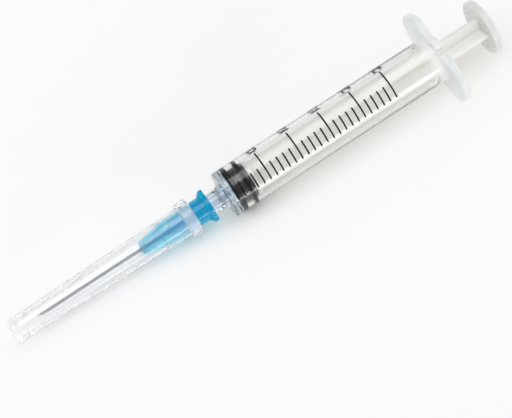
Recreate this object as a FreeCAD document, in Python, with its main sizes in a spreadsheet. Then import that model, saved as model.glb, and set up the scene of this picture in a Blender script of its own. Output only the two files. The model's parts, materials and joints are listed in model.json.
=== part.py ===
import FreeCAD, Part
import os
import re

import Sketcher

# A 2.5 ml three-piece slip-tip syringe with a capped needle, lying on a table.
# Millimetres, +Z up. Every piece is drawn along its own X axis: the needle points to -X and
# the plunger leaves to +X. The barrel's X starts at the outer face of its front wall.

os.makedirs("parts", exist_ok=True)

sizeTable = [
    # the barrel
    ("boreDiameter", 8.9, "bore that the stopper runs in"),
    ("barrelWall", 0.85, "wall of the barrel"),
    ("barrelLength", 55.9, "front face to the open end"),
    ("frontWall", 1.1, "wall that carries the nozzle"),
    ("edgeRound", 0.4, "rounding of the shoulder and of the flange's rim"),
    ("mouthFlare", 0.35, "how much the open end widens"),
    ("mouthDepth", 1.0, "length of that widening"),
    ("ridgeHeight", 0.12, "ring near the open end that keeps the stopper in"),
    ("ridgeWidth", 0.8, "width of that ring at its foot"),
    ("ridgeSetback", 3.4, "open end to the ring"),
    # the finger flange
    ("flangeLong", 23.7, "long way across the oval"),
    ("flangeShort", 13.2, "short way across the oval"),
    ("flangeEnd", 6.0, "radius of the oval's two ends"),
    ("flangeThick", 1.7, "thickness of the flange"),
    ("flangeFillet", 0.7, "fillet between barrel and flange"),
    # the slip nozzle, a 6 % cone
    ("nozzleLength", 9.6, "front face to the tip"),
    ("nozzleTip", 3.96, "diameter at the tip"),
    ("coneTaper", 0.06, "change of diameter over length"),
    ("nozzleBore", 2.2, "channel through the nozzle"),
    ("nozzleFoot", 5.6, "diameter where the foot meets the front wall"),
    ("footLength", 2.2, "length of the conical foot"),
    ("tipChamfer", 0.15, "broken edge of the nozzle's tip"),
    # the rubber stopper
    ("stopperClearance", 0.05, "between a sealing rib and the bore"),
    ("plungerGap", 0.3, "stopper's nose to the front wall, fully in"),
    ("stopperNose", 0.35, "how far the nose cone stands before the first rib"),
    ("noseFlat", 1.6, "radius of the flat at the nose"),
    ("frontRib", 1.15, "length of the first sealing rib"),
    ("ribGap", 1.7, "groove between the ribs"),
    ("rearRib", 0.95, "length of the second sealing rib"),
    ("tailLength", 0.75, "tapered tail behind the ribs"),
    ("grooveDepth", 0.3, "depth of the groove"),
    ("tailDrop", 0.5, "how much smaller the tail's end is"),
    ("ribBreak", 0.12, "broken edges of the ribs"),
    # the plunger rod
    ("seatGap", 0.05, "rod to stopper"),
    ("knobRadius", 2.3, "knob that holds the stopper"),
    ("knobLength", 1.3, "length of the knob"),
    ("neckRadius", 1.6, "neck behind the knob"),
    ("neckLength", 1.1, "length of that neck"),
    ("rodDisc", 7.9, "disc behind the stopper"),
    ("rodDiscThick", 0.9, "its thickness"),
    ("armSpan", 8.0, "across the crossed webs inside the barrel"),
    ("armThick", 0.92, "thickness of a web"),
    ("waistSpan", 6.3, "across the webs behind the flange"),
    ("thumbStandoff", 10.5, "open end to the thumb disc, fully in"),
    ("thumbDiameter", 13.1, "thumb disc"),
    ("thumbThick", 1.6, "its thickness"),
    ("thumbRound", 0.45, "rounding of its edges"),
    ("gripRingHeight", 0.18, "rings on the thumb disc's face"),
    ("gripRingWidth", 0.54, "width of a ring at its foot"),
    ("gripRingPitch", 1.5, "one ring to the next"),
    ("webFoot", 0.9, "how far the webs widen into the thumb disc"),
    ("webFootArc", 10, "degrees that such a foot takes up"),
    # the needle hub
    ("hubStandoff", 3.7, "front face to the hub, pushed home"),
    ("hubClearance", 0.05, "between the two cones"),
    ("hubLength", 17.3, "rear face to nose"),
    ("hubBody", 5.66, "diameter of the plain body"),
    ("bodyLength", 6.5, "rear face to the grip"),
    ("hubFlange", 6.3, "rim at the rear face"),
    ("hubFlangeThick", 0.75, "its thickness"),
    ("lugSpan", 7.8, "across the two lugs"),
    ("lugTip", 0.75, "thickness of a lug at its tip"),
    ("lugRoot", 1.7, "thickness of a lug at its root"),
    ("lugArc", 52, "degrees that a lug takes up"),
    ("lugOverlap", 0.42, "how deep a lug reaches into the body"),
    ("gripLength", 5.5, "length of the finned grip"),
    ("gripCore", 4.5, "core of the grip"),
    ("gripDraft", 0.08, "how much the fins fall towards the nose"),
    ("gripArc", 30, "degrees that a grip fin takes up"),
    ("noseFinBase", 4.7, "across the nose fins at the grip"),
    ("noseFinTip", 3.3, "across the nose fins at the nose"),
    ("noseCoreBase", 3.7, "core of the nose at the grip"),
    ("noseCoreTip", 2.7, "core of the nose at its end"),
    ("noseFinArc", 34, "degrees that a nose fin takes up"),
    ("socketDepth", 9.0, "depth of the conical socket"),
    ("funnelLength", 2.4, "socket down to the needle's hole"),
    ("wellDiameter", 1.7, "glue well in the nose"),
    ("wellDepth", 1.3, "its depth"),
    # the needle and its glue
    ("needleDiameter", 0.64, "outside of the steel tube"),
    ("needleBore", 0.34, "inside of the steel tube"),
    ("needleReach", 26.1, "nose to point"),
    ("needleInset", 5.0, "length held in the hub"),
    ("bevelLength", 1.9, "slanted cut at the point"),
    ("glueGap", 0.02, "needle to hub and glue to hub"),
    ("glueCrown", 0.35, "how far the glue stands out of its well"),
    # the needle cap
    ("capLength", 45.3, "mouth to closed end"),
    ("capStandoff", 4.1, "hub's rear face to the cap's mouth"),
    ("capClearance", 0.06, "between cap and hub"),
    ("collarDiameter", 8.5, "collar at the mouth"),
    ("collarLength", 2.6, "its length"),
    ("collarBreak", 0.3, "its broken edges"),
    ("capOpen", 6.78, "outside just before the collar"),
    ("capClosed", 5.63, "outside at the closed end"),
    ("capEndRound", 0.6, "rounding of the closed end"),
    ("capEndWall", 1.45, "wall of the closed end"),
    ("capSeatGap", 0.3, "grip's front to the shoulder in the cap"),
    ("capSeatStep", 0.2, "height of that shoulder"),
    ("capBoreStep", 26.8, "mouth to the step in the bore"),
    ("capMidBore", 5.0, "bore just before the step"),
    ("capFarBore", 4.1, "bore behind the step"),
    ("capTipBore", 3.8, "bore at the closed end"),
    ("capLeadIn", 0.3, "chamfer at the mouth"),
    # the printed scale
    ("markVolume", 100, "cubic millimetres from one line to the next"),
    ("lineWidth", 0.36, "width of a line"),
    ("inkThick", 0.02, "thickness of the ink"),
    ("scaleEnd", 52, "degrees from the top, towards -Y, where all lines end"),
    ("shortArc", 39, "degrees that a short line takes up"),
    ("longArc", 78, "degrees that a long line takes up"),
    # how the free pieces are turned about the axis
    ("rodTurn", 67, "degrees"),
    ("hubTurn", 110, "degrees"),
]
lineCount = 26
longEvery = 5
gripRings = 3
sameLength = 0.0001  # lengths that differ by less are one length

doc = FreeCAD.newDocument("syringe")
sheet = doc.addObject("Spreadsheet::Sheet", "sizes")
for row, (alias, value, note) in enumerate(sizeTable, start=1):
    sheet.set(f"A{row}", alias)
    sheet.set(f"B{row}", str(value))
    sheet.set(f"C{row}", note)
    sheet.setAlias(f"B{row}", alias)
doc.recompute()
aliases = {alias for alias, value, note in sizeTable}

# Derived lengths that several pieces share, written once
boreRadius = "(boreDiameter / 2)"
barrelRadius = "(boreDiameter / 2 + barrelWall)"
ribRadius = "(boreDiameter / 2 - stopperClearance)"
zeroStation = "(frontWall + stopperNose + plungerGap)"
stopperLength = "(frontRib + ribGap + rearRib + tailLength)"
rodStation = f"({zeroStation} + {stopperLength} + seatGap)"
thumbStation = "(barrelLength + thumbStandoff)"
hubStation = "(-hubStandoff)"
noseStation = f"({hubStation} - hubLength)"
capStation = f"({hubStation} - capStandoff)"
gripFront = "(bodyLength + gripLength)"
lineStep = "(markVolume / (pi * boreDiameter ^ 2 / 4))"
socketMouth = "(nozzleTip / 2 + coneTaper / 2 * (nozzleLength - hubStandoff) + hubClearance)"
socketEnd = f"({socketMouth} - coneTaper / 2 * socketDepth)"
needleHole = "(needleDiameter / 2 + glueGap)"
endCentre = "(flangeLong / 2 - flangeEnd)"
sideRadius = (f"(({endCentre} ^ 2 + (flangeShort / 2) ^ 2 - flangeEnd ^ 2)"
              " / (flangeShort - 2 * flangeEnd))")

# The syringe lies on the flange's rim and on the barrel's shoulder, so its axis is tilted a little
restTilt = f"atan((flangeShort / 2 - {barrelRadius}) / (barrelLength - flangeThick))"
axisHeight = (f"(({barrelRadius} - edgeRound) * cos({restTilt}) - edgeRound * sin({restTilt})"
              " + edgeRound)")
capTip = f"({capStation} - capLength)"
thumbBack = f"({thumbStation} + thumbThick + gripRingHeight)"
middle = f"(({capTip} + {thumbBack}) / 2 * cos({restTilt}))"


def bind(expression):
    """The expression with every size read from the sheet."""
    return re.sub(r"[A-Za-z]\w*", lambda m: f"sizes.{m[0]}" if m[0] in aliases else m[0], expression)


def value(expression):
    """The expression's value now, as a plain number."""
    result = sheet.evalExpression(re.sub(r"sizes\.", "", bind(expression)))
    return float(result.Value) if hasattr(result, "Value") else float(result)


def originPlane(body, role):
    return next(f for f in body.Origin.OriginFeatures if f.Role == role)


def newBody(label):
    body = doc.addObject("PartDesign::Body", label)
    body.Label = label
    return body


def newSketch(body, name, role, offset=None):
    """An empty sketch on one of the body's own planes, moved along its normal by offset."""
    sketch = body.newObject("Sketcher::SketchObject", name)
    sketch.AttachmentSupport = [(originPlane(body, role), "")]
    sketch.MapMode = "FlatFace"
    if offset is not None:
        sketch.setExpression("AttachmentOffset.Base.z", bind(offset))
    return sketch


def addOutline(sketch, corners):
    """A closed outline of straight edges whose corners are pairs of expressions."""
    first = len(sketch.Geometry)
    count = len(corners)
    points = [FreeCAD.Vector(value(across), value(up), 0) for across, up in corners]
    for index in range(count):
        sketch.addGeometry(Part.LineSegment(points[index], points[(index + 1) % count]), False)
    for index, (across, up) in enumerate(corners):
        edge = first + index
        following = first + (index + 1) % count
        sketch.addConstraint(Sketcher.Constraint("Coincident", edge, 2, following, 1))
        for kind, expression, number in (("DistanceX", across, points[index].x),
                                         ("DistanceY", up, points[index].y)):
            constraint = sketch.addConstraint(Sketcher.Constraint(kind, -1, 1, edge, 1, number))
            sketch.setExpression(f"Constraints[{constraint}]", bind(expression))


def addCircle(sketch, radius):
    """A circle about the sketch's origin."""
    circle = sketch.addGeometry(Part.Circle(FreeCAD.Vector(), FreeCAD.Vector(0, 0, 1), value(radius)))
    sketch.addConstraint(Sketcher.Constraint("Coincident", circle, 3, -1, 1))
    constraint = sketch.addConstraint(Sketcher.Constraint("Radius", circle, value(radius)))
    sketch.setExpression(f"Constraints[{constraint}]", bind(radius))


def addOval(sketch):
    """The finger flange's oval: two round ends that run over into two flatter sides."""
    ends = FreeCAD.Vector(value("flangeLong / 2"), 0, 0)
    sides = FreeCAD.Vector(0, value("flangeShort / 2"), 0)
    centre = value(endCentre)
    toward = FreeCAD.Vector(centre, value(f"{sideRadius} - flangeShort / 2"), 0).normalize()
    joint = FreeCAD.Vector(centre, 0, 0) + toward * value("flangeEnd")
    mirrored = FreeCAD.Vector(-joint.x, joint.y, 0)
    for start, through, finish in ((-mirrored, ends, joint), (joint, sides, mirrored),
                                   (mirrored, -ends, -joint), (-joint, -sides, -mirrored)):
        sketch.addGeometry(Part.Arc(start, through, finish), False)
    for arc in range(4):
        sketch.addConstraint(Sketcher.Constraint("Tangent", arc, 2, (arc + 1) % 4, 1))
        radius = sideRadius if arc % 2 else "flangeEnd"
        constraint = sketch.addConstraint(Sketcher.Constraint("Radius", arc, value(radius)))
        sketch.setExpression(f"Constraints[{constraint}]", bind(radius))
    for first, second in (((-1, 1), (0, 3)), ((2, 3), (-1, 1))):
        constraint = sketch.addConstraint(Sketcher.Constraint("DistanceX", *first, *second, centre))
        sketch.setExpression(f"Constraints[{constraint}]", bind(endCentre))
    for arc in (0, 2):
        sketch.addConstraint(Sketcher.Constraint("PointOnObject", arc, 3, -1))


def revolve(body, name, corners, kind="PartDesign::Revolution", arc=None):
    """Turns an outline in the XZ plane about X, all round or over an arc centred on +Z."""
    sketch = newSketch(body, name + "_profile", "XZ_Plane")
    addOutline(sketch, corners)
    feature = body.newObject(kind, name)
    feature.Profile = sketch
    feature.ReferenceAxis = (originPlane(body, "X_Axis"), [""])
    feature.Angle = 360
    if arc is not None:
        feature.Midplane = True
        feature.setExpression("Angle", bind(arc))
    doc.recompute()
    return feature


def pad(body, name, sketch, length):
    feature = body.newObject("PartDesign::Pad", name)
    feature.Profile = sketch
    feature.setExpression("Length", bind(length))
    doc.recompute()
    return feature


def repeatRound(body, name, original, count):
    """Copies of one feature, evenly spaced about the body's X axis."""
    pattern = body.newObject("PartDesign::PolarPattern", name)
    pattern.Originals = [original]
    pattern.Axis = (originPlane(body, "X_Axis"), [""])
    pattern.Angle = 360
    pattern.Occurrences = count
    body.Tip = pattern
    doc.recompute()
    return pattern


def roundEdges(body, name, radius, wanted):
    """A fillet on the edges of the body's last feature that the test picks."""
    base = body.Tip
    edges = [f"Edge{i}" for i, edge in enumerate(base.Shape.Edges, start=1) if wanted(edge)]
    fillet = body.newObject("PartDesign::Fillet", name)
    fillet.Base = (base, edges)
    fillet.setExpression("Radius", bind(radius))
    doc.recompute()
    return fillet


def ringAt(station, radius):
    """A test for the round edge at one station and radius."""
    place = value(station)
    size = value(radius)

    def test(edge):
        curve = edge.Curve
        if not isinstance(curve, Part.Circle) or abs(curve.Radius - size) > sameLength:
            return False
        return abs(curve.Center.x - place) < sameLength

    return test


def lay(piece, station="0", turn="0"):
    """Puts a piece at its station on the syringe's axis, in the pose that it rests in."""
    rest = (f"create(<<placement>>; create(<<vector>>; -{middle}; 0; {axisHeight});"
            f" create(<<rotation>>; create(<<vector>>; 0; 1; 0); -{restTilt}))")
    along = (f"create(<<placement>>; create(<<vector>>; {station}; 0; 0);"
             f" create(<<rotation>>; create(<<vector>>; 1; 0; 0); {turn}))")
    piece.setExpression("Placement", bind(f"{rest} * {along}"))


def makeBarrel():
    body = newBody("barrel")
    coneFoot = "(nozzleTip / 2 + coneTaper / 2 * (nozzleLength - footLength))"
    revolve(body, "barrel_tube", [
        ("-nozzleLength", "0"),
        ("-nozzleLength", "nozzleTip / 2 - tipChamfer"),
        ("-nozzleLength + tipChamfer", "nozzleTip / 2"),
        ("-footLength", coneFoot),
        ("0", "nozzleFoot / 2"),
        ("0", barrelRadius),
        ("barrelLength", barrelRadius),
        ("barrelLength", "0"),
    ])
    flangeFront = "barrelLength - flangeThick"
    oval = newSketch(body, "flange_oval", "YZ_Plane", flangeFront)
    addOval(oval)
    pad(body, "finger_flange", oval, "flangeThick")
    rim = [ringAt(station, radius) for station in (flangeFront, "barrelLength")
           for radius in ("flangeEnd", sideRadius)]
    roundEdges(body, "rim_round", "edgeRound", lambda edge: any(test(edge) for test in rim))
    roundEdges(body, "shoulder_round", "edgeRound", ringAt("0", barrelRadius))
    roundEdges(body, "flange_fillet", "flangeFillet", ringAt(flangeFront, barrelRadius))
    ridgeFoot = "barrelLength - ridgeSetback"
    revolve(body, "barrel_bore", [
        ("-nozzleLength", "0"),
        ("-nozzleLength", "nozzleBore / 2"),
        ("frontWall", "nozzleBore / 2"),
        ("frontWall", "noseFlat"),
        ("frontWall + stopperNose", boreRadius),
        (f"{ridgeFoot} - ridgeWidth / 2", boreRadius),
        (ridgeFoot, f"{boreRadius} - ridgeHeight"),
        (f"{ridgeFoot} + ridgeWidth / 2", boreRadius),
        ("barrelLength - mouthDepth", boreRadius),
        ("barrelLength", f"{boreRadius} + mouthFlare"),
        ("barrelLength", "0"),
    ], kind="PartDesign::Groove")
    lay(body)
    return body


def makeStopper():
    body = newBody("stopper")
    groove = f"({ribRadius} - grooveDepth)"
    brokenRib = f"({ribRadius} - ribBreak)"
    rearStart = "(frontRib + ribGap)"
    rearEnd = f"({rearStart} + rearRib)"
    socketBottom = f"({stopperLength} - neckLength - knobLength)"
    revolve(body, "stopper_body", [
        ("-stopperNose", "0"),
        ("-stopperNose", "noseFlat"),
        ("0", brokenRib),
        ("ribBreak", ribRadius),
        ("frontRib - ribBreak", ribRadius),
        ("frontRib", brokenRib),
        ("frontRib + ribBreak", groove),
        (f"{rearStart} - ribBreak", groove),
        (rearStart, brokenRib),
        (f"{rearStart} + ribBreak", ribRadius),
        (f"{rearEnd} - ribBreak", ribRadius),
        (rearEnd, brokenRib),
        (stopperLength, f"{ribRadius} - tailDrop"),
        (stopperLength, "neckRadius + seatGap"),
        (f"{stopperLength} - neckLength + seatGap", "neckRadius + seatGap"),
        (f"{stopperLength} - neckLength + seatGap", "knobRadius + seatGap"),
        (f"{socketBottom}", "knobRadius + seatGap"),
        (f"{socketBottom} - seatGap", "0"),
    ])
    lay(body, zeroStation)
    return body


def crossOutline(span):
    """The corners of two crossed webs, seen along the axis."""
    reach = f"{span} / 2"
    half = "armThick / 2"
    return [
        (reach, half), (half, half), (half, reach),
        (f"-{half}", reach), (f"-{half}", half), (f"-{reach}", half),
        (f"-{reach}", f"-{half}"), (f"-{half}", f"-{half}"), (f"-{half}", f"-{reach}"),
        (half, f"-{reach}"), (half, f"-{half}"), (reach, f"-{half}"),
    ]


def makeRod():
    body = newBody("plunger_rod")
    revolve(body, "rod_head", [
        ("-neckLength - knobLength + seatGap", "0"),
        ("-neckLength - knobLength + seatGap", "neckRadius"),
        ("-neckLength - knobLength / 2", "knobRadius"),
        ("-neckLength", "knobRadius"),
        ("-neckLength", "neckRadius"),
        ("0", "neckRadius"),
        ("0", "rodDisc / 2"),
        ("rodDiscThick", "rodDisc / 2"),
        ("rodDiscThick", "0"),
    ])
    waistStart = f"(barrelLength - {rodStation})"
    thumbFace = f"({thumbStation} - {rodStation})"
    webs = newSketch(body, "web_cross", "YZ_Plane", "rodDiscThick")
    addOutline(webs, crossOutline("armSpan"))
    pad(body, "long_webs", webs, f"{waistStart} - rodDiscThick")
    waist = newSketch(body, "waist_cross", "YZ_Plane", waistStart)
    addOutline(waist, crossOutline("waistSpan"))
    pad(body, "waist_webs", waist, f"{thumbFace} - {waistStart}")
    thumb = newSketch(body, "thumb_circle", "YZ_Plane", thumbFace)
    addCircle(thumb, "thumbDiameter / 2")
    pad(body, "thumb_disc", thumb, "thumbThick")
    edges = [ringAt(thumbFace, "thumbDiameter / 2"),
             ringAt(f"{thumbFace} + thumbThick", "thumbDiameter / 2")]
    roundEdges(body, "thumb_round", "thumbRound", lambda edge: any(test(edge) for test in edges))
    webFoot = revolve(body, "web_foot", [
        (f"{thumbFace} - webFoot", "waistSpan / 2 - armThick / 2"),
        (f"{thumbFace} - webFoot", "waistSpan / 2 - webFoot"),
        (f"{thumbFace} + thumbThick / 2", "waistSpan / 2 - webFoot"),
        (f"{thumbFace} + thumbThick / 2", "waistSpan / 2 + webFoot"),
        (thumbFace, "waistSpan / 2 + webFoot / 2"),
    ], arc="webFootArc")
    repeatRound(body, "web_feet", webFoot, 4)
    thumbBackFace = f"({thumbFace} + thumbThick)"
    for ring in range(1, gripRings + 1):
        inner = f"(gripRingPitch * {ring} - gripRingWidth / 2)"
        outer = f"(gripRingPitch * {ring} + gripRingWidth / 2)"
        revolve(body, f"grip_ring_{ring}", [
            (f"{thumbBackFace} - gripRingHeight", inner),
            (thumbBackFace, inner),
            (f"{thumbBackFace} + gripRingHeight", f"{inner} + gripRingHeight"),
            (f"{thumbBackFace} + gripRingHeight", f"{outer} - gripRingHeight"),
            (thumbBackFace, outer),
            (f"{thumbBackFace} - gripRingHeight", outer),
        ])
    lay(body, rodStation, "rodTurn")
    return body


def makeHub():
    body = newBody("needle_hub")
    revolve(body, "hub_body", [
        ("0", socketMouth),
        ("0", "hubFlange / 2"),
        ("-hubFlangeThick", "hubFlange / 2"),
        ("-hubFlangeThick - (hubFlange - hubBody) / 2", "hubBody / 2"),
        ("-bodyLength", "hubBody / 2"),
        ("-bodyLength", "gripCore / 2"),
        (f"-{gripFront}", "gripCore / 2"),
        (f"-{gripFront}", "noseCoreBase / 2"),
        ("-hubLength", "noseCoreTip / 2"),
        ("-hubLength", "wellDiameter / 2"),
        ("-hubLength + wellDepth", "wellDiameter / 2"),
        ("-hubLength + wellDepth", needleHole),
        ("-socketDepth - funnelLength", needleHole),
        ("-socketDepth", socketEnd),
    ])
    buried = "hubBody / 2 - lugOverlap"
    lug = revolve(body, "lock_lug", [
        ("0", buried),
        ("0", "lugSpan / 2"),
        ("-lugTip", "lugSpan / 2"),
        ("-lugRoot", "hubBody / 2"),
        ("-lugRoot", buried),
    ], arc="lugArc")
    repeatRound(body, "lock_lugs", lug, 2)
    gripFin = revolve(body, "grip_fin", [
        ("-bodyLength + gripDraft", "gripCore / 2 - gripDraft"),
        ("-bodyLength + gripDraft", "hubBody / 2"),
        ("-bodyLength", "hubBody / 2"),
        (f"-{gripFront}", "hubBody / 2 - gripDraft"),
        (f"-{gripFront}", "gripCore / 2 - gripDraft"),
    ], arc="gripArc")
    repeatRound(body, "grip_fins", gripFin, 4)
    noseFin = revolve(body, "nose_fin", [
        (f"-{gripFront} + gripDraft", "noseCoreTip / 2 - gripDraft"),
        (f"-{gripFront} + gripDraft", "noseFinBase / 2"),
        (f"-{gripFront}", "noseFinBase / 2"),
        ("-hubLength + gripDraft", "noseFinTip / 2"),
        ("-hubLength + gripDraft", "noseCoreTip / 2 - gripDraft"),
    ], arc="noseFinArc")
    repeatRound(body, "nose_fins", noseFin, 4)
    lay(body, hubStation, "hubTurn")
    return body


def makeNeedle():
    body = newBody("needle_tube")
    revolve(body, "steel_tube", [
        ("-needleReach", "needleBore / 2"),
        ("-needleReach", "needleDiameter / 2"),
        ("needleInset", "needleDiameter / 2"),
        ("needleInset", "needleBore / 2"),
    ])
    sketch = newSketch(body, "bevel_wedge", "XZ_Plane")
    addOutline(sketch, [
        ("-needleReach - bevelLength / 2", "-needleDiameter"),
        ("-needleReach + bevelLength + bevelLength / 2", "needleDiameter"),
        ("-needleReach - bevelLength / 2", "needleDiameter"),
    ])
    bevel = body.newObject("PartDesign::Pocket", "bevel")
    bevel.Profile = sketch
    bevel.Midplane = True
    bevel.setExpression("Length", bind("needleDiameter * 2"))
    doc.recompute()
    lay(body, noseStation, "hubTurn")
    return body


def makeGlue():
    body = newBody("glue_bead")
    revolve(body, "bead_ring", [
        ("wellDepth - glueGap", needleHole),
        ("wellDepth - glueGap", "wellDiameter / 2 - glueGap"),
        ("0", "wellDiameter / 2 - glueGap"),
        ("-glueCrown / 2", "wellDiameter / 2 - glueGap - glueCrown / 2"),
        ("-glueCrown", "needleDiameter / 2 + glueCrown / 2"),
        ("-glueCrown", needleHole),
    ])
    lay(body, noseStation)
    return body


def makeCap():
    body = newBody("needle_cap")
    seatDepth = f"({gripFront} - capStandoff + capSeatGap)"
    fitBore = "(hubBody / 2 + capClearance)"
    seatBore = f"({fitBore} - gripDraft)"
    revolve(body, "cap_shell", [
        ("0", f"{fitBore} + capLeadIn"),
        ("0", "collarDiameter / 2 - collarBreak"),
        ("-collarBreak", "collarDiameter / 2"),
        ("-collarLength + collarBreak", "collarDiameter / 2"),
        ("-collarLength", "collarDiameter / 2 - collarBreak"),
        ("-collarLength", "capOpen / 2"),
        ("-capLength", "capClosed / 2"),
        ("-capLength", "0"),
        ("-capLength + capEndWall", "0"),
        ("-capLength + capEndWall", "capTipBore / 2"),
        ("-capBoreStep", "capFarBore / 2"),
        ("-capBoreStep", "capMidBore / 2"),
        (f"-{seatDepth}", f"{seatBore} - capSeatStep"),
        (f"-{seatDepth}", seatBore),
        ("-capLeadIn", fitBore),
    ])
    roundEdges(body, "end_round", "capEndRound", ringAt("-capLength", "capClosed / 2"))
    lay(body, capStation)
    return body


def makeScaleLine(index):
    """One printed line: a thin arc of ink on the outside of the barrel."""
    arc = "longArc" if index % longEvery == 0 else "shortArc"
    start = f"{zeroStation} + {lineStep} * {index} - lineWidth / 2"
    sector = doc.addObject("Part::Cylinder", f"line_sector_{index}")
    sector.setExpression("Radius", bind(f"{barrelRadius} + inkThick"))
    sector.setExpression("Height", bind("lineWidth"))
    sector.setExpression("Angle", bind(arc))
    core = doc.addObject("Part::Cylinder", f"line_core_{index}")
    core.setExpression("Radius", bind(barrelRadius))
    core.setExpression("Height", bind("lineWidth"))
    # the sector opens at -Z, so half a turn less brings its start to the top
    turn = f"scaleEnd - {arc} - 180"
    place = (f"create(<<placement>>; create(<<vector>>; {start}; 0; 0);"
             f" create(<<rotation>>; create(<<vector>>; 1; 0; 0); {turn}))"
             " * create(<<placement>>; create(<<vector>>; 0; 0; 0);"
             " create(<<rotation>>; create(<<vector>>; 0; 1; 0); 90))")
    for cylinder in (sector, core):
        cylinder.setExpression("Placement", bind(place))
    line = doc.addObject("Part::Cut", f"line_{index}")
    line.Base = sector
    line.Tool = core
    return line


def makeScale():
    lines = doc.addObject("Part::Compound", "scale_lines")
    lines.Label = "scale_lines"
    lines.Links = [makeScaleLine(index) for index in range(lineCount)]
    lay(lines)
    return lines


pieces = [makeBarrel(), makeStopper(), makeRod(), makeHub(), makeNeedle(), makeGlue(), makeCap(),
          makeScale()]
doc.recompute()

for item in doc.Objects:
    if "Invalid" in item.State or "Error" in item.State:
        raise RuntimeError(f"{item.Label} failed: {item.State}")
for piece in pieces:
    if piece.Shape.isNull() or not piece.Shape.isValid():
        raise RuntimeError(f"{piece.Label} has no valid shape")
for piece in pieces:
    piece.Shape.exportStep(f"parts/{piece.Label}.step")
    box = piece.Shape.BoundBox
    print(f"{piece.Label}: {len(piece.Shape.Solids)} solid, {piece.Shape.Volume:.2f} mm3,"
          f" X {box.XMin:.2f} to {box.XMax:.2f}, Z {box.ZMin:.3f} to {box.ZMax:.3f}")
print(f"tilt {value(restTilt):.3f} degrees")
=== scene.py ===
import json
import math

import bmesh
import bpy
from mathutils import Matrix, Vector


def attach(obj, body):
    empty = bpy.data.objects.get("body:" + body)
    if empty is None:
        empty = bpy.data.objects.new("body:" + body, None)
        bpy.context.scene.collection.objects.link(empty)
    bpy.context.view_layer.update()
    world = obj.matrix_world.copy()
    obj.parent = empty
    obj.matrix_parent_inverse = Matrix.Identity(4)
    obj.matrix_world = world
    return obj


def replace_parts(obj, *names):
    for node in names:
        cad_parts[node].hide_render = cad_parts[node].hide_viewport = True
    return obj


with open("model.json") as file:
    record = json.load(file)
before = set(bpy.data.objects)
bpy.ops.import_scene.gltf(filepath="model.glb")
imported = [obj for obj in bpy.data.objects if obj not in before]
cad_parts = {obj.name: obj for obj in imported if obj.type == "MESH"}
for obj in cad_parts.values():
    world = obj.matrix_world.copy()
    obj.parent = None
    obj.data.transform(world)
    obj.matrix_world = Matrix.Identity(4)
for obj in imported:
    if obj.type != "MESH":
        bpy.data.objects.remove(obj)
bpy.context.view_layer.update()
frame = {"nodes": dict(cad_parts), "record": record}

mm = 0.001
roundSteps = 4
sharpAngle = math.radians(40)  # corners sharper than this stay crisp
noiseRange = (0.3, 0.7)  # most of a noise's values lie between these
print("syringe: frame loaded, nodes", ", ".join(sorted(frame["nodes"])))


# Where the syringe's own axis lies. Stations are millimetres along it from the barrel's front face,
# and an angle round it is counted from the top towards the scale's side, -Y.

record = frame["record"]
mounts = {mount["name"]: mount for mount in record["mounts"]}
alongAxis = -Vector(mounts["nozzle_cone"]["axis"]).normalized()
acrossAxis = Vector((0, 1, 0))
upFromAxis = alongAxis.cross(acrossAxis)
nozzleLength = 9.6
frontFace = Vector(mounts["nozzle_cone"]["pos_m"]) + alongAxis * nozzleLength * mm


def onAxis(station, radius=0.0, angle=0.0):
    outward = upFromAxis * math.cos(angle) - acrossAxis * math.sin(angle)
    return frontFace + alongAxis * station * mm + outward * radius * mm


# Small helpers for meshes and materials

def meshPiece(name, bm, body, material, smooth=True):
    mesh = bpy.data.meshes.new(name)
    bm.to_mesh(mesh)
    bm.free()
    for face in mesh.polygons:
        face.use_smooth = smooth
    if smooth:
        mesh.set_sharp_from_angle(angle=sharpAngle)
    piece = bpy.data.objects.new(name, mesh)
    bpy.context.scene.collection.objects.link(piece)
    mesh.materials.append(material)
    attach(piece, body)
    return piece


def softCorners(corners):
    # a corner is a station, a radius and how far its rounding reaches; a fin's radius may stand between
    points = []
    count = len(corners)
    for index, corner in enumerate(corners):
        here, reach = Vector(corner[:-1]), corner[-1]
        if reach == 0:
            points.append(tuple(here))
            continue
        before = Vector(corners[index - 1][:-1]) - here
        after = Vector(corners[(index + 1) % count][:-1]) - here
        first = here + before.normalized() * reach
        last = here + after.normalized() * reach
        for step in range(roundSteps + 1):
            share = step / roundSteps
            points.append(tuple(first.lerp(here, share).lerp(here.lerp(last, share), share)))
    return points


def turnedMesh(rings, segments, reachAt):
    # turns a row of rings round the axis; reachAt gives a ring's radius at an angle
    bm = bmesh.new()
    rows = []
    for ring in rings:
        if ring[1] == 0:
            rows.append([bm.verts.new(onAxis(ring[0]))] * segments)
            continue
        row = []
        for index in range(segments):
            angle = 2 * math.pi * index / segments
            row.append(bm.verts.new(onAxis(ring[0], reachAt(ring, angle), angle)))
        rows.append(row)
    pairs = list(zip(rows, rows[1:]))
    if rings[0][1] > 0:
        pairs.append((rows[-1], rows[0]))
    for near, far in pairs:
        for index in range(segments):
            following = (index + 1) % segments
            bm.faces.new(list(dict.fromkeys((near[index], near[following], far[following], far[index]))))
    bmesh.ops.recalc_face_normals(bm, faces=bm.faces)
    return bm


def roundReach(ring, angle):
    return ring[1]


def newMaterial(name):
    material = bpy.data.materials.new(name)
    material.use_nodes = True
    nodes = material.node_tree.nodes
    shader = nodes["Principled BSDF"]
    output = nodes["Material Output"]
    return material, nodes, material.node_tree.links, shader, output


def dress(nodeName, material):
    node = frame["nodes"][nodeName]
    node.data.materials.clear()
    node.data.materials.append(material)


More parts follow.
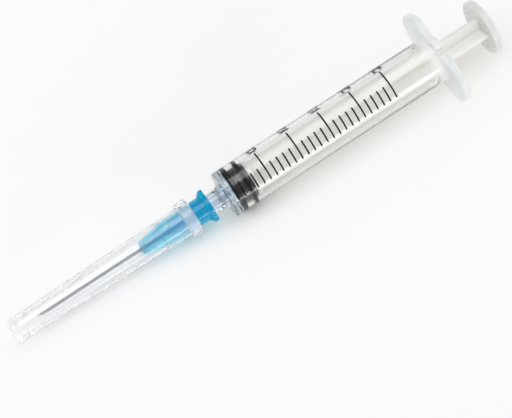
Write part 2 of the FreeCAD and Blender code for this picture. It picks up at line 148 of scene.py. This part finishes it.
def addNoise(nodes, links, scale, detail=3.0, stretch=(1.0, 1.0, 1.0)):
    place = nodes.new("ShaderNodeTexCoord")
    mapping = nodes.new("ShaderNodeMapping")
    mapping.inputs["Scale"].default_value = stretch
    noise = nodes.new("ShaderNodeTexNoise")
    noise.inputs["Scale"].default_value = scale
    noise.inputs["Detail"].default_value = detail
    links.new(place.outputs["Object"], mapping.inputs["Vector"])
    links.new(mapping.outputs["Vector"], noise.inputs["Vector"])
    return noise


def spread(nodes, links, noise, low, high):
    remap = nodes.new("ShaderNodeMapRange")
    remap.inputs["From Min"].default_value = noiseRange[0]
    remap.inputs["From Max"].default_value = noiseRange[1]
    remap.inputs["To Min"].default_value = low
    remap.inputs["To Max"].default_value = high
    links.new(noise.outputs["Fac"], remap.inputs["Value"])
    return remap


def addBump(nodes, links, noise, shader, strength, distance):
    bump = nodes.new("ShaderNodeBump")
    bump.inputs["Strength"].default_value = strength
    bump.inputs["Distance"].default_value = distance
    links.new(noise.outputs["Fac"], bump.inputs["Height"])
    links.new(bump.outputs["Normal"], shader.inputs["Normal"])


def letLampsThrough(material, nodes, links, shader, output, tint):
    # light on its way to the table passes with a tint, so that the plastic leaves only a faint shadow
    path = nodes.new("ShaderNodeLightPath")
    clear = nodes.new("ShaderNodeBsdfTransparent")
    clear.inputs["Color"].default_value = (*tint, 1)
    bounced = nodes.new("ShaderNodeMixShader")
    links.new(path.outputs["Is Diffuse Ray"], bounced.inputs["Fac"])
    links.new(shader.outputs["BSDF"], bounced.inputs[1])
    links.new(clear.outputs["BSDF"], bounced.inputs[2])
    direct = nodes.new("ShaderNodeMixShader")
    links.new(path.outputs["Is Shadow Ray"], direct.inputs["Fac"])
    links.new(bounced.outputs["Shader"], direct.inputs[1])
    links.new(clear.outputs["BSDF"], direct.inputs[2])
    links.new(direct.outputs["Shader"], output.inputs["Surface"])


def rampAlong(nodes, links, stops):
    # a shade that changes along the syringe, from one stop's station to the next
    place = nodes.new("ShaderNodeTexCoord")
    apart = nodes.new("ShaderNodeSeparateXYZ")
    links.new(place.outputs["Object"], apart.inputs["Vector"])
    first, last = stops[0][0], stops[-1][0]
    share = nodes.new("ShaderNodeMapRange")
    share.inputs["From Min"].default_value = onAxis(first).x
    share.inputs["From Max"].default_value = onAxis(last).x
    links.new(apart.outputs["X"], share.inputs["Value"])
    ramp = nodes.new("ShaderNodeValToRGB")
    links.new(share.outputs["Result"], ramp.inputs["Fac"])
    steps = ramp.color_ramp.elements
    for index, (station, shade) in enumerate(stops):
        where = (station - first) / (last - first)
        step = steps[index] if index < 2 else steps.new(where)
        step.position = where
        step.color = (*shade, 1) if isinstance(shade, tuple) else (shade, shade, shade, 1)
    return ramp


def clearPlastic(name, settings):
    material, nodes, links, shader, output = newMaterial(name)
    # base colour along the syringe: the plastic's tint, and on the barrel painted light from the hub at
    # the front and painted shade at the flange
    tint = rampAlong(nodes, links, settings["tintAndPaintedLightAlong"])
    links.new(tint.outputs["Color"], shader.inputs["Base Color"])
    clear = rampAlong(nodes, links, settings["clearAlong"])
    links.new(clear.outputs["Color"], shader.inputs["Transmission Weight"])
    shader.inputs["IOR"].default_value = settings["ior"]
    shader.inputs["Specular IOR Level"].default_value = settings["gloss"]
    shader.inputs["Subsurface Weight"].default_value = 1.0  # for what isn't clear
    shader.inputs["Subsurface Radius"].default_value = settings["glow"]
    shader.inputs["Subsurface Scale"].default_value = settings["glowDepth"] * mm
    haze = addNoise(nodes, links, settings["hazeScale"], stretch=settings["flow"])
    rough = spread(nodes, links, haze, *settings["roughness"])
    links.new(rough.outputs["Result"], shader.inputs["Roughness"])
    ripple = addNoise(nodes, links, settings["rippleScale"], stretch=settings["flow"])
    addBump(nodes, links, ripple, shader, settings["rippleStrength"], settings["rippleHeight"] * mm)
    letLampsThrough(material, nodes, links, shader, output, settings["shadowTint"])
    return material


# The clear barrel

barrelLook = {
    "tintAndPaintedLightAlong": (  # bluish and darker at the nozzle and the front wall, a painted reflection of the blue hub, and greyer at the flange, painted shade, as photographed; between them the plastic's own tint
        (-9.6, (0.80, 0.88, 0.94)), (-0.5, (0.74, 0.82, 0.90)), (1.2, (0.66, 0.76, 0.86)),
        (2.0, (0.97, 0.97, 0.968)), (52.5, (0.97, 0.97, 0.968)), (54.2, (0.80, 0.825, 0.84)),
        (56.0, (0.80, 0.825, 0.84)),
    ),
    "clearAlong": (  # milky at the flange, as photographed
        (-9.6, 0.94), (0.5, 0.96), (1.5, 0.99), (51.0, 0.99), (54.0, 0.3), (56.0, 0.3),
    ),
    "gloss": 0.35,
    "ior": 1.49,
    "roughness": (0.1, 0.15),
    "hazeScale": 260.0,
    "flow": (0.08, 1.0, 1.0),  # stretched along the syringe, as the melt ran
    "rippleScale": 120.0,
    "rippleStrength": 0.001,
    "rippleHeight": 0.05,
    "glow": (1.0, 1.0, 0.97),
    "glowDepth": 3.0,
    "shadowTint": (0.98, 0.977, 0.97),
}


barrelShape = {
    "segments": 256,
    "flangeEnd": 5.99,  # radius of the oval's round ends
    "endCentre": 5.85,
    "flangeSide": 34.81,  # radius of its flatter sides
    "sideCentre": 28.22,
    "halfWidth": 6.6,  # the oval across its short way; only the flange reaches so far
    "rimDepth": 0.5,  # rings within this of it follow the oval
    "corners": (
        (-9.6, 1.98, 0.15), (-2.2, 2.202, 0.5), (0.0, 2.8, 0.25), (0.0, 5.3, 0.4),
        (54.2, 5.3, 0.7), (54.2, 6.6, 0.4), (55.9, 6.6, 0.4), (55.9, 4.8, 0.15), (54.9, 4.45, 0.2),
        (52.9, 4.45, 0.1), (52.5, 4.33, 0.1), (52.1, 4.45, 0.1),
        (1.45, 4.45, 0.1), (1.1, 1.6, 0.1), (1.1, 1.1, 0.05), (-9.6, 1.1, 0.05),
    ),
}


def flangeReach(ring, angle):
    # the flange is an oval of four arcs, everything else on the barrel is round
    inset = barrelShape["halfWidth"] - ring[1]
    if inset > barrelShape["rimDepth"]:
        return ring[1]
    across, up = abs(math.sin(angle)), abs(math.cos(angle))
    toEnd, toSide = barrelShape["endCentre"], barrelShape["sideCentre"]
    if up * toEnd < across * toSide:
        return toEnd * across + math.sqrt(barrelShape["flangeEnd"] ** 2 - (toEnd * up) ** 2) - inset
    return math.sqrt(barrelShape["flangeSide"] ** 2 - (toSide * across) ** 2) - toSide * up - inset


def makeBarrel():
    bm = turnedMesh(softCorners(barrelShape["corners"]), barrelShape["segments"], flangeReach)
    material = clearPlastic("clearBarrel", barrelLook)
    barrel = meshPiece("barrel_shell", bm, "barrel", material)
    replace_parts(barrel, "barrel")
    print("syringe: barrel turned and dressed")


# The needle cap, a little bluer than the barrel

capLook = {
    "tintAndPaintedLightAlong": ((-53.1, (0.965, 0.975, 0.985)), (-7.8, (0.965, 0.975, 0.985))),
    "gloss": 0.4,
    "clearAlong": (  # a little milky at the closed end and the collar, as photographed
        (-53.1, 0.8), (-51.5, 0.85), (-48.0, 0.96), (-10.8, 0.96), (-10.2, 0.8), (-7.8, 0.8),
    ),
    "ior": 1.49,
    "roughness": (0.08, 0.12),
    "hazeScale": 300.0,
    "flow": (0.1, 1.0, 1.0),
    "rippleScale": 120.0,
    "rippleStrength": 0.001,
    "rippleHeight": 0.05,
    "glow": (1.0, 1.0, 1.0),
    "glowDepth": 2.0,
    "shadowTint": (0.97, 0.975, 0.98),
}


capShape = {
    "segments": 256,
    "corners": (
        (-53.1, 0.0, 0), (-53.1, 2.815, 0.6), (-10.4, 3.39, 0.1), (-10.4, 4.25, 0.3),
        (-7.8, 4.25, 0.3),
        (-7.8, 3.19, 0.08), (-8.1, 2.89, 0.08), (-16.0, 2.81, 0.08), (-16.0, 2.61, 0.08),
        (-34.2, 2.5, 0.5), (-35.8, 2.05, 0.5), (-51.65, 1.9, 0.5), (-51.65, 0.0, 0),
    ),
}


def makeCap():
    bm = turnedMesh(softCorners(capShape["corners"]), capShape["segments"], roundReach)
    cap = meshPiece("cap_shell", bm, "cap", clearPlastic("clearCap", capLook))
    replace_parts(cap, "needle_cap")
    print("syringe: cap turned and dressed")


# The plunger rod, milky and translucent

rodLook = {
    "colourAndPaintedShadeAlong": (  # the milky colour with painted shade, set to the photograph's shades, darkest at the thumb disc
        (-4.0, (0.81, 0.82, 0.79)), (56.5, (0.81, 0.82, 0.79)), (58.0, (0.76, 0.77, 0.745)),
        (65.6, (0.74, 0.75, 0.725)), (66.6, (0.64, 0.65, 0.645)), (68.3, (0.64, 0.65, 0.645)),
    ),
    "milkiness": 0.8,
    "glow": (1.0, 1.0, 0.95),
    "glowDepth": 3.0,
    "ior": 1.49,
    "roughness": (0.25, 0.38),
    "grainScale": 900.0,
    "bumpStrength": 0.03,
    "bumpHeight": 0.02,
    "shadowTint": (0.88, 0.87, 0.85),
}


def makeRod():
    material, nodes, links, shader, output = newMaterial("milkyPlastic")
    # painted shade: the milky colour darkens towards the thumb disc
    shade = rampAlong(nodes, links, rodLook["colourAndPaintedShadeAlong"])
    links.new(shade.outputs["Color"], shader.inputs["Base Color"])
    shader.inputs["Subsurface Weight"].default_value = rodLook["milkiness"]
    shader.inputs["Subsurface Radius"].default_value = rodLook["glow"]
    shader.inputs["Subsurface Scale"].default_value = rodLook["glowDepth"] * mm
    shader.inputs["IOR"].default_value = rodLook["ior"]
    grain = addNoise(nodes, links, rodLook["grainScale"])
    rough = spread(nodes, links, grain, *rodLook["roughness"])
    links.new(rough.outputs["Result"], shader.inputs["Roughness"])
    addBump(nodes, links, grain, shader, rodLook["bumpStrength"], rodLook["bumpHeight"] * mm)
    letLampsThrough(material, nodes, links, shader, output, rodLook["shadowTint"])
    dress("plunger_rod", material)
    print("syringe: plunger rod dressed")


# The black stopper

stopperLook = {
    "colour": (0.003, 0.003, 0.0045),
    "gloss": 0.3,
    "roughness": (0.2, 0.3),
    "grainScale": 1500.0,
    "bumpStrength": 0.05,
    "bumpHeight": 0.02,
}
sealBands = {
    "stations": ((1.75, 2.9), (4.6, 5.55)),  # first and last station of each sealing rib
    "radius": 4.47,  # just inside the barrel's wall, where the oiled rubber wets the bore
    "thick": 0.01,
    "segments": 160,
}


def makeRubber():
    material, nodes, links, shader, output = newMaterial("blackRubber")
    shader.inputs["Base Color"].default_value = (*stopperLook["colour"], 1)
    shader.inputs["Specular IOR Level"].default_value = stopperLook["gloss"]
    grain = addNoise(nodes, links, stopperLook["grainScale"])
    rough = spread(nodes, links, grain, *stopperLook["roughness"])
    links.new(rough.outputs["Result"], shader.inputs["Roughness"])
    addBump(nodes, links, grain, shader, stopperLook["bumpStrength"], stopperLook["bumpHeight"] * mm)
    dress("stopper", material)
    return material


def makeSealBands(material):
    # where the ribs press on the bore there is no air between, so the wall looks black right through
    bm = bmesh.new()
    count = sealBands["segments"]
    for first, last in sealBands["stations"]:
        corners = ((first, 0), (last, 0), (last, sealBands["thick"]), (first, sealBands["thick"]))
        rings = []
        for index in range(count):
            angle = 2 * math.pi * index / count
            rings.append([bm.verts.new(onAxis(station, sealBands["radius"] + out, angle))
                          for station, out in corners])
        for index in range(count):
            here, there = rings[index], rings[(index + 1) % count]
            for side in range(4):
                following = (side + 1) % 4
                bm.faces.new((here[side], there[side], there[following], here[following]))
    bmesh.ops.recalc_face_normals(bm, faces=bm.faces)
    meshPiece("seal_bands", bm, "plunger", material, smooth=False)
    print("syringe: stopper dressed")


# The blue needle hub

hubLook = {
    "deepColour": (0.0, 0.45, 0.70),
    # colour of the painted highlights, mixed over the deep blue
    "paintedLightColour": (0.5, 0.93, 0.98),
    "clearness": 0.75,
    "gloss": 0.2,
    "ior": 1.5,
    "roughness": (0.06, 0.14),
    "grainScale": 700.0,
    "bumpStrength": 0.03,
    "bumpHeight": 0.02,
    "shadowTint": (0.78, 0.93, 0.98),
}


hubShape = {
    "segments": 256,
    "rearFace": -3.7,
    "turn": 110,  # degrees from the top to the first lug
    "lugArc": 52,
    "finArc": 26,
    "edgeArc": 6,  # over which the side of a fin or lug falls
    "lugEnd": -1.75,
    "corners": (  # station, plain radius, radius on a lug or fin, painted light there and between, rounding
        (0.0, 3.15, 3.9, 0.0, 0.0, 0.1), (-0.75, 3.15, 3.9, 0.0, 0.0, 0.1),
        (-1.07, 2.83, 3.55, 0.0, 0.0, 0.1), (-1.75, 2.83, 2.83, 0.05, 0.05, 0.1),
        (-6.5, 2.83, 2.83, 0.05, 0.05, 0.04), (-6.6, 2.25, 2.83, 0.0, 0.6, 0.08),
        (-11.8, 2.25, 2.77, 0.0, 0.6, 0.12), (-11.9, 2.25, 2.77, 1.0, 1.0, 0.05),
        (-12.0, 1.85, 2.35, 0.0, 0.3, 0.05), (-17.3, 1.35, 1.65, 0.1, 0.5, 0.12),
        (-17.3, 0.85, 0.85, 0.3, 0.3, 0.08), (-16.0, 0.85, 0.85, 0.3, 0.3, 0.1),
        (-16.0, 0.34, 0.34, 0.1, 0.1, 0.05), (-11.4, 0.34, 0.34, 0.1, 0.1, 0.2),
        (-9.0, 1.937, 1.937, 0.05, 0.05, 0.2), (0.0, 2.207, 2.207, 0.05, 0.05, 0.1),
    ),
}


def proudShare(station, angle):
    # 1 on a lug or fin, 0 between them
    onLugs = station > hubShape["lugEnd"]
    apart = math.pi if onLugs else math.pi / 2
    half = math.radians(hubShape["lugArc"] if onLugs else hubShape["finArc"]) / 2
    edge = math.radians(hubShape["edgeArc"])
    away = abs((angle - math.radians(hubShape["turn"]) + apart / 2) % apart - apart / 2)
    share = min(1.0, max(0.0, (half + edge - away) / edge))
    return share * share * (3 - 2 * share)


def hubReach(ring, angle):
    station, plain, proud = ring[:3]
    return plain + (proud - plain) * proudShare(station, angle)


def hubPiece(material):
    rings = softCorners(hubShape["corners"])
    count = hubShape["segments"]
    bm = turnedMesh(rings, count, hubReach)
    # painted light on the hub: 0 keeps the deep blue, 1 gives the painted highlight colour
    paintedLight = bm.verts.layers.float.new("paintedLight")
    bm.verts.ensure_lookup_table()
    for row, (station, plain, proud, onFin, between) in enumerate(rings):
        for index in range(count):
            share = proudShare(station, 2 * math.pi * index / count)
            shade = between + (onFin - between) * share
            if station < hubShape["lugEnd"] and proud > plain:
                shade = max(shade, 4 * share * (1 - share))  # painted highlights along the fins' edges
            bm.verts[row * count + index][paintedLight] = shade
    bmesh.ops.translate(bm, verts=bm.verts, vec=alongAxis * hubShape["rearFace"] * mm)
    return meshPiece("hub_body", bm, "needle", material)


def makeHub():
    material, nodes, links, shader, output = newMaterial("bluePlastic")
    paintedLight = nodes.new("ShaderNodeAttribute")  # painted light, set in hubPiece, to the photograph's pale places
    paintedLight.attribute_name = "paintedLight"
    shade = nodes.new("ShaderNodeValToRGB")
    shade.color_ramp.elements[0].color = (*hubLook["deepColour"], 1)
    shade.color_ramp.elements[1].color = (*hubLook["paintedLightColour"], 1)
    links.new(paintedLight.outputs["Fac"], shade.inputs["Fac"])
    links.new(shade.outputs["Color"], shader.inputs["Base Color"])
    shader.inputs["Transmission Weight"].default_value = hubLook["clearness"]
    shader.inputs["Specular IOR Level"].default_value = hubLook["gloss"]
    shader.inputs["IOR"].default_value = hubLook["ior"]
    grain = addNoise(nodes, links, hubLook["grainScale"])
    rough = spread(nodes, links, grain, *hubLook["roughness"])
    links.new(rough.outputs["Result"], shader.inputs["Roughness"])
    addBump(nodes, links, grain, shader, hubLook["bumpStrength"], hubLook["bumpHeight"] * mm)
    letLampsThrough(material, nodes, links, shader, output, hubLook["shadowTint"])
    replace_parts(hubPiece(material), "needle_hub")
    print("syringe: hub turned and dressed")


# The steel needle and its glue

needleLook = {
    "colour": (0.26, 0.265, 0.275),
    "roughness": (0.55, 0.7),
    "drawScale": 3000.0,
    "drawFlow": (0.05, 1.0, 1.0),  # fine lines along the tube from drawing it
    "bumpStrength": 0.15,
    "bumpHeight": 0.01,
}
glueLook = {
    "colour": (0.8, 0.85, 0.86),
    "clearness": 0.8,
    "roughness": 0.12,
    "unevenScale": 1800.0,
    "bumpStrength": 0.25,
    "bumpHeight": 0.03,
}


def makeNeedle():
    material, nodes, links, shader, output = newMaterial("needleSteel")
    shader.inputs["Base Color"].default_value = (*needleLook["colour"], 1)
    shader.inputs["Metallic"].default_value = 1.0
    lines = addNoise(nodes, links, needleLook["drawScale"], stretch=needleLook["drawFlow"])
    rough = spread(nodes, links, lines, *needleLook["roughness"])
    links.new(rough.outputs["Result"], shader.inputs["Roughness"])
    addBump(nodes, links, lines, shader, needleLook["bumpStrength"], needleLook["bumpHeight"] * mm)
    dress("needle_tube", material)

    material, nodes, links, shader, output = newMaterial("clearGlue")
    shader.inputs["Base Color"].default_value = (*glueLook["colour"], 1)
    shader.inputs["Transmission Weight"].default_value = glueLook["clearness"]
    shader.inputs["Roughness"].default_value = glueLook["roughness"]
    uneven = addNoise(nodes, links, glueLook["unevenScale"])
    addBump(nodes, links, uneven, shader, glueLook["bumpStrength"], glueLook["bumpHeight"] * mm)
    dress("glue_bead", material)
    print("syringe: needle dressed")


# The printed scale: the lines are solids already, the numbers are wrapped on here

inkLook = {
    "colour": (0.004, 0.004, 0.005),
    "gloss": 0.2,
    "roughness": (0.4, 0.55),
    "grainScale": 4000.0,
    "bumpStrength": 0.1,
    "bumpHeight": 0.004,
}
numbers = {
    "texts": ("0.5", "1.0", "1.5", "2.0", "2.5"),
    "firstStation": 9.787,  # of the 0.5 ml line
    "pitch": 8.037,  # 0.5 ml along the barrel
    "height": 2.15,
    "wide": 1.15,  # the digits are a little wider than the font's
    "startAngle": -33.0,  # degrees from the top, where each number begins
    "radius": 5.3,
    "ink": 0.02,
    "bold": 0.03,
    "letterGap": 1.06,
    "digitShare": 0.69,  # how tall the digits are for a font of size 1
    "weld": 0.0005,  # millimetres
    "slice": 0.25,
}


def makeInk():
    material, nodes, links, shader, output = newMaterial("blackInk")
    shader.inputs["Base Color"].default_value = (*inkLook["colour"], 1)
    shader.inputs["Specular IOR Level"].default_value = inkLook["gloss"]
    grain = addNoise(nodes, links, inkLook["grainScale"])
    rough = spread(nodes, links, grain, *inkLook["roughness"])
    links.new(rough.outputs["Result"], shader.inputs["Roughness"])
    addBump(nodes, links, grain, shader, inkLook["bumpStrength"], inkLook["bumpHeight"] * mm)
    dress("scale_lines", material)
    return material


def numberMesh(text):
    # flat number in millimetres, its reading direction along X, sliced so that it can bend
    curve = bpy.data.curves.new("numberCurve", "FONT")
    curve.body = text
    curve.size = numbers["height"] / numbers["digitShare"]
    curve.offset = numbers["bold"] * curve.size / 2
    curve.space_character = numbers["letterGap"]
    curve.extrude = numbers["ink"] / 2
    holder = bpy.data.objects.new("numberHolder", curve)
    bpy.context.scene.collection.objects.link(holder)
    bpy.context.view_layer.update()
    flat = bpy.data.meshes.new_from_object(holder)
    bpy.data.objects.remove(holder)
    bpy.data.curves.remove(curve)
    bm = bmesh.new()
    bm.from_mesh(flat)
    bpy.data.meshes.remove(flat)
    bmesh.ops.remove_doubles(bm, verts=bm.verts, dist=numbers["weld"])
    left = min(v.co.x for v in bm.verts)
    low = min(v.co.y for v in bm.verts)
    high = max(v.co.y for v in bm.verts)
    right = max(v.co.x for v in bm.verts)
    bmesh.ops.translate(bm, verts=bm.verts, vec=(-left, -(low + high) / 2, 0))
    for cut in range(1, int((right - left) / numbers["slice"]) + 1):
        geometry = bm.verts[:] + bm.edges[:] + bm.faces[:]
        bmesh.ops.bisect_plane(bm, geom=geometry, plane_co=(cut * numbers["slice"], 0, 0),
                               plane_no=(1, 0, 0))
    return bm


def makeNumbers(material):
    start = math.radians(numbers["startAngle"])
    for index, text in enumerate(numbers["texts"]):
        bm = numberMesh(text)
        station = numbers["firstStation"] + numbers["pitch"] * index
        radius = numbers["radius"] + numbers["ink"] / 2
        for vertex in bm.verts:
            reading, up, out = vertex.co
            angle = start - reading * numbers["wide"] / numbers["radius"]
            vertex.co = onAxis(station - up, radius + out, angle)
        bmesh.ops.recalc_face_normals(bm, faces=bm.faces)
        name = "number_" + text.replace(".", "_")
        meshPiece(name, bm, "barrel", material, smooth=False)
    print("syringe: scale numbers printed")


# The table and the light

studio = {
    "floorSize": 6.0,
    "floorColour": (0.955, 0.955, 0.955),
    "floorRoughness": 0.9,
    "floorGloss": 0.1,
    "roomLevel": 0.28,
    "overheadLevel": 1.74,  # found by trial, so that the bare table renders nearly white
    "overheadSize": (3.0, 0.57),
    "overheadPlace": (0.0, 0.16, 0.8),
    "stripLevel": 0.11,
    "stripSize": (1.6, 0.16),
    "stripPlace": (0.0, -0.75, 0.12),
}


def makeFloor():
    bm = bmesh.new()
    bmesh.ops.create_grid(bm, x_segments=2, y_segments=2, size=studio["floorSize"] / 2)
    mesh = bpy.data.meshes.new("floor")
    bm.to_mesh(mesh)
    bm.free()
    floor = bpy.data.objects.new("floor", mesh)
    bpy.context.scene.collection.objects.link(floor)
    material, nodes, links, shader, output = newMaterial("paleTable")
    shader.inputs["Base Color"].default_value = (*studio["floorColour"], 1)
    shader.inputs["Roughness"].default_value = studio["floorRoughness"]
    shader.inputs["Specular IOR Level"].default_value = studio["floorGloss"]
    mesh.materials.append(material)


def addSoftbox(name, level, size, place):
    # level is the light on the table from a small lamp; a large one gives less than its level
    softbox = bpy.data.lights.new(name, "AREA")
    softbox.shape = "RECTANGLE"
    softbox.size, softbox.size_y = size
    place = Vector(place)
    lean = place.z / place.length
    softbox.energy = level * math.pi ** 2 * place.length_squared / lean
    facing = place.normalized()
    upright = facing.cross(Vector((1, 0, 0))).normalized()
    turn = Matrix((upright.cross(facing), upright, facing)).transposed().to_4x4()
    holder = bpy.data.objects.new(name, softbox)
    holder.matrix_world = Matrix.Translation(place) @ turn
    bpy.context.scene.collection.objects.link(holder)


def makeLight():
    world = bpy.data.worlds.new("room")
    bpy.context.scene.world = world
    world.use_nodes = True
    background = world.node_tree.nodes["Background"]
    background.inputs["Color"].default_value = (1, 1, 1, 1)
    background.inputs["Strength"].default_value = studio["roomLevel"]
    addSoftbox("overhead", studio["overheadLevel"], studio["overheadSize"], studio["overheadPlace"])
    addSoftbox("strip", studio["stripLevel"], studio["stripSize"], studio["stripPlace"])
    print("syringe: table and light set")


# The camera, from where the syringe lies in the photograph

cameraView = {
    "focalPixels": 1880.0,
    "imageWide": 512,
    "imageHigh": 418,
    "distance": 400.0,  # millimetres, at the station below
    "station": 4.0,
    "stationPixel": (240.0, 185.1),
    "axisSlope": 33.17,  # degrees above the horizontal in the picture
    "plungerAway": 6.8,  # degrees that the plunger end leans away
    "leanToScale": 22.0,  # degrees that the camera leans from above towards the scale
    "sensorWide": 36.0,
    "nearest": 0.01,  # metres
}


def makeCamera():
    lean = math.radians(cameraView["leanToScale"])
    away = math.radians(cameraView["plungerAway"])
    slope = math.radians(cameraView["axisSlope"])
    aside = upFromAxis * math.cos(lean) - acrossAxis * math.sin(lean)
    back = aside * math.cos(away) - alongAxis * math.sin(away)
    seenAxis = (alongAxis - back * alongAxis.dot(back)).normalized()
    seenSide = back.cross(seenAxis)
    right = seenAxis * math.cos(slope) - seenSide * math.sin(slope)
    up = seenAxis * math.sin(slope) + seenSide * math.cos(slope)
    pixelX, pixelY = cameraView["stationPixel"]
    perPixel = cameraView["distance"] / cameraView["focalPixels"] * mm
    offset = (right * (pixelX - cameraView["imageWide"] / 2)
              - up * (pixelY - cameraView["imageHigh"] / 2)) * perPixel
    data = bpy.data.cameras.new("camera")
    data.sensor_width = cameraView["sensorWide"]
    data.lens = cameraView["focalPixels"] * data.sensor_width / cameraView["imageWide"]
    data.clip_start = cameraView["nearest"]
    camera = bpy.data.objects.new("camera", data)
    place = onAxis(cameraView["station"]) + back * cameraView["distance"] * mm - offset
    turn = Matrix((right, up, back)).transposed().to_4x4()
    camera.matrix_world = Matrix.Translation(place) @ turn
    bpy.context.scene.collection.objects.link(camera)
    bpy.context.scene.camera = camera
    print("syringe: camera placed")


makeCamera()
makeFloor()
makeLight()
makeBarrel()
makeCap()
makeRod()
makeSealBands(makeRubber())
makeHub()
makeNeedle()
makeNumbers(makeInk())

bpy.context.scene.view_settings.view_transform = "Standard"
